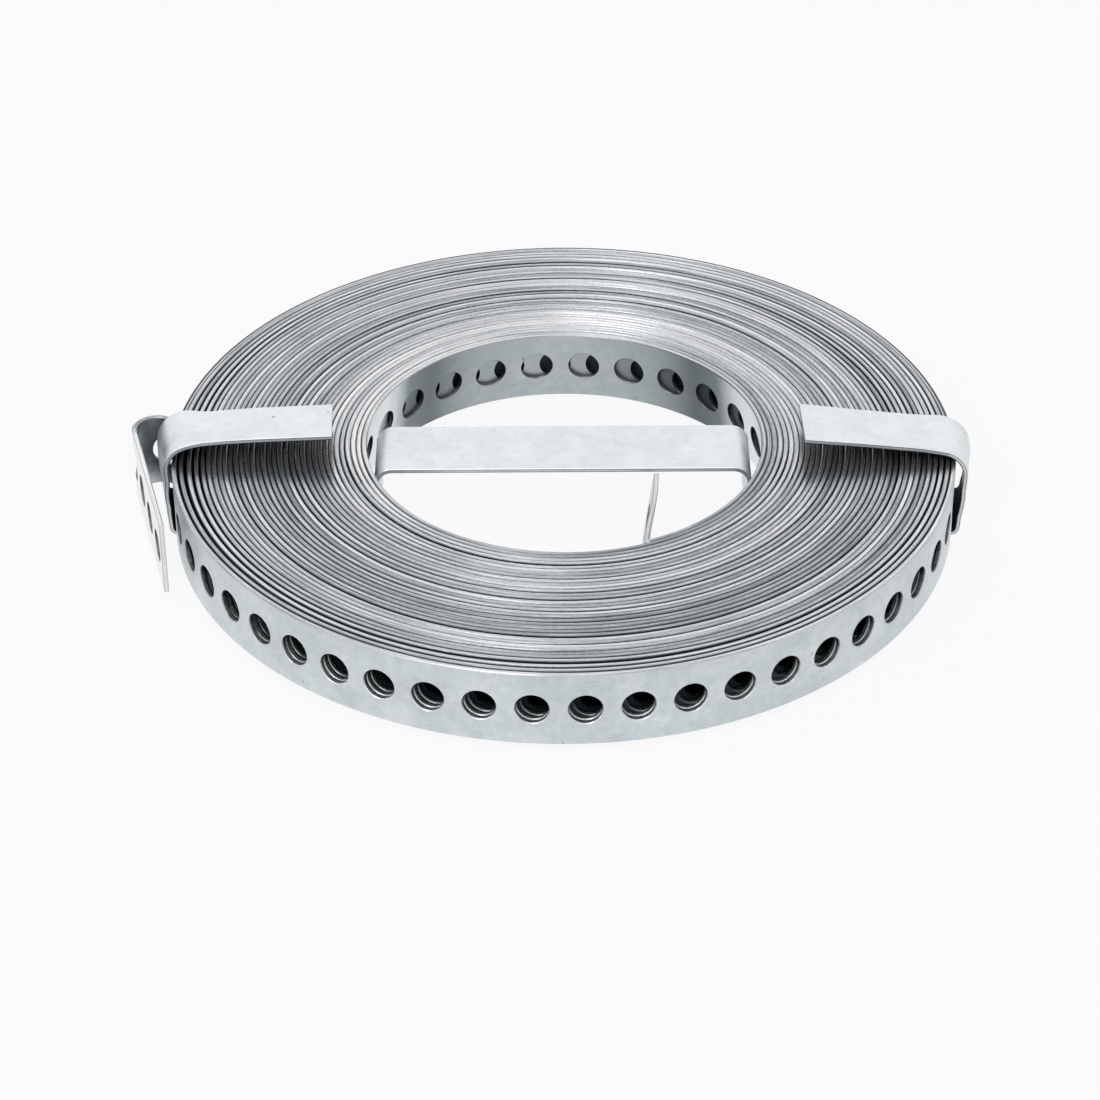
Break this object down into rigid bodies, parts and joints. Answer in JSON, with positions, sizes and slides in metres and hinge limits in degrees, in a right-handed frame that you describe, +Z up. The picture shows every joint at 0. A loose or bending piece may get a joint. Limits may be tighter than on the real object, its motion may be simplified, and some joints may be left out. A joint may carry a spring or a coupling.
{
  "type": "perforated steel strap coil",
  "caption": "Thin galvanised steel strap with a row of round holes, wound into a flat tied coil with both ends loose.",
  "frame": {"origin": "on the floor, at the underside of the tie strip, in the middle of the object's outline; the coil's axis stands 2.2 mm to +X of it, because the loose outer end reaches further on the other side", "axes": "+X along the tie strip, away from the loose outer end; +Z up the coil's axis; the picture is taken from -Y"},
  "size_m": [0.1266, 0.1188, 0.017],
  "materials": {
    "galvanised_strap": "galvanised, satin",
    "galvanised_tie": "galvanised, satin"
  },
  "bodies": {
    "root": {"perforated_strap": "galvanised_strap", "tie_strip": "galvanised_tie"}
  },
  "joints": []
}
